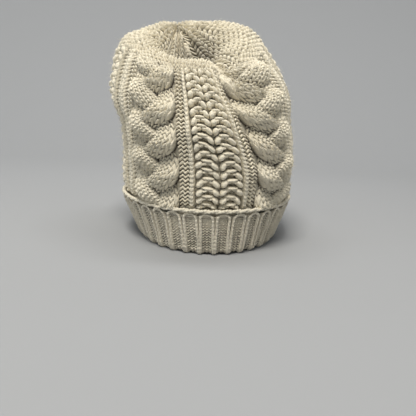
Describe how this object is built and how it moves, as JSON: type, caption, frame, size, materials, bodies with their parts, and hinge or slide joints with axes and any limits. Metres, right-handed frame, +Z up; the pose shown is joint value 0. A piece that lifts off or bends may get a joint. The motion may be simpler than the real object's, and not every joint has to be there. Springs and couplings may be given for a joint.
{
  "type": "knit beanie",
  "caption": "Cable-knit beanie with a turned-up ribbed cuff and a gathered, leaning crown, shaped as worn on a head.",
  "frame": {"origin": "centre of the head opening, in the plane of the rim", "axes": "+Z up through the crown, -Y out of the face with the ladder-stitch panel, +X to that face's right as it is seen from in front"},
  "size_m": [0.1746, 0.1982, 0.2038],
  "materials": {
    "cream_knit": "matte wool cable knit",
    "cream_rib": "matte wool rib knit",
    "cream_yarn": "matte plied wool yarn"
  },
  "bodies": {
    "root": {"cabled_body": "cream_knit", "turned_cuff": "cream_rib", "cast_on_edge": "cream_yarn", "crown_cinch_yarn": "cream_yarn", "crown_yarn_tail": "cream_yarn", "cast_on_yarn_tail": "cream_yarn"}
  },
  "joints": []
}
